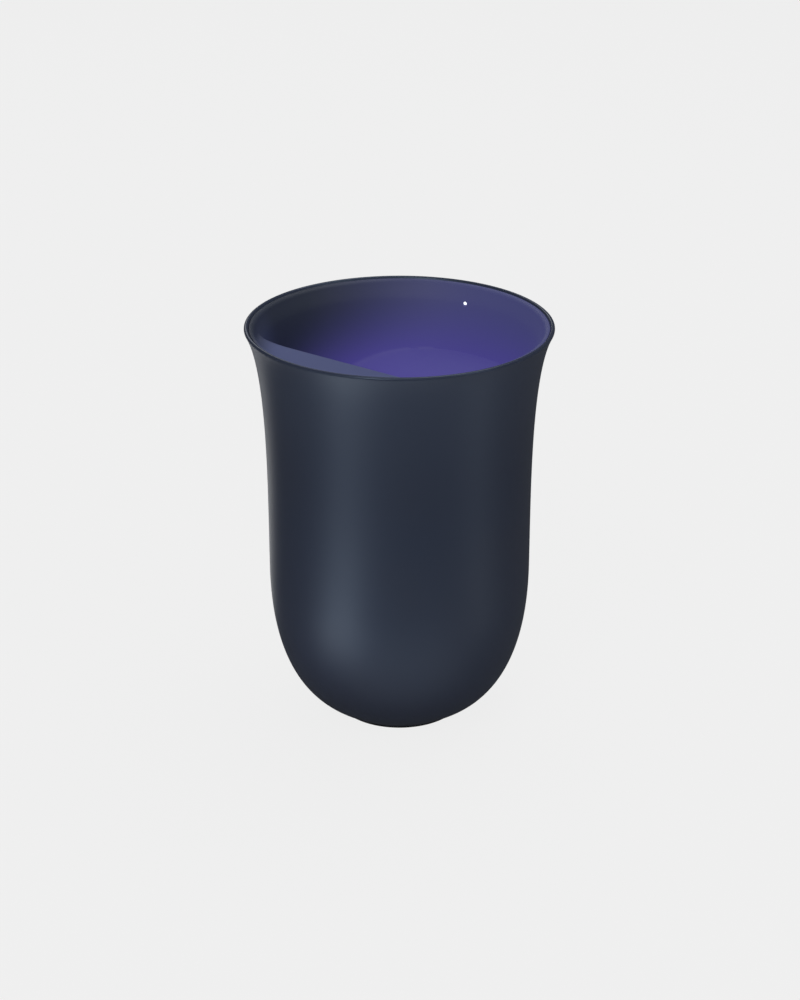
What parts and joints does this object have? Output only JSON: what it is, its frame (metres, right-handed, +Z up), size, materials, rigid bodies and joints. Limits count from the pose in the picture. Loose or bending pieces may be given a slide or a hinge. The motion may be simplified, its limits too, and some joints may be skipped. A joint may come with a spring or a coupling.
{
  "type": "uv sanitizer vase",
  "caption": "Bell-shaped ultraviolet sanitizer: a flared shell round a tapered well with a lit front wall, a sloping charging wall and a push button behind.",
  "frame": {"origin": "middle of the foot's underside, on the table", "axes": "+Z up along the body's axis, -Y towards the lamp and the shelf, +Y towards the charging wall, the inlet and the button"},
  "size_m": [0.13, 0.13, 0.178],
  "materials": {
    "soft_touch_shell": "soft-touch paint over moulded plastic",
    "liner_satin": "satin moulded plastic",
    "pad_rubber": "matt moulded silicone",
    "lamp_glass": "clear ground window",
    "black_plastic": "moulded plastic",
    "lamp_chip": "lamp package with a clear dome",
    "circuit_board": "solder mask on glass laminate",
    "sink_aluminium": "cast and blasted",
    "screw_steel": "zinc plated",
    "coil_copper": "enamelled copper strand",
    "ferrite": "sintered ferrite, matt dark grey",
    "carrier_plastic": "moulded plastic",
    "frame_plastic": "moulded glass-filled plastic",
    "component_black": "moulded component bodies",
    "inlet_steel": "stamped and plated",
    "plunger_plastic": "moulded plastic",
    "light_guide": "clear moulded guide, lit white",
    "flex_board": "flexible laminate",
    "ballast_steel": "turned ring, oiled",
    "foot_rubber": "matt rubber"
  },
  "bodies": {
    "housing": {"outer_shell": "soft_touch_shell", "cavity_liner": "liner_satin", "well_floor_pad": "pad_rubber", "uv_window": "lamp_glass", "uv_holder": "black_plastic", "uv_led": "lamp_chip", "uv_board": "circuit_board", "uv_heatsink": "sink_aluminium", "uv_screws": "screw_steel", "charge_coil": "coil_copper", "ferrite_plate": "ferrite", "coil_carrier": "carrier_plastic", "coil_screws": "screw_steel", "inner_frame": "frame_plastic", "liner_screws": "screw_steel", "main_board": "circuit_board", "board_parts": "component_black", "board_screws": "screw_steel", "inlet_socket": "inlet_steel", "button_board": "circuit_board", "button_switch": "component_black", "button_screws": "screw_steel", "status_light_pipe": "light_guide", "status_led": "lamp_chip", "status_board": "flex_board", "ballast_weight": "ballast_steel", "base_cover": "soft_touch_shell", "base_screws": "screw_steel", "foot_ring": "foot_rubber"},
    "button": {"uv_button": "soft_touch_shell", "switch_plunger": "plunger_plastic"}
  },
  "joints": [
    {"name": "button_press", "type": "slide", "parent": "housing", "child": "button", "axis": [0, -1, 0], "range_m": [0, 0.0005], "stiffness_N_per_m": 800, "springref_m": -0.001}
  ]
}
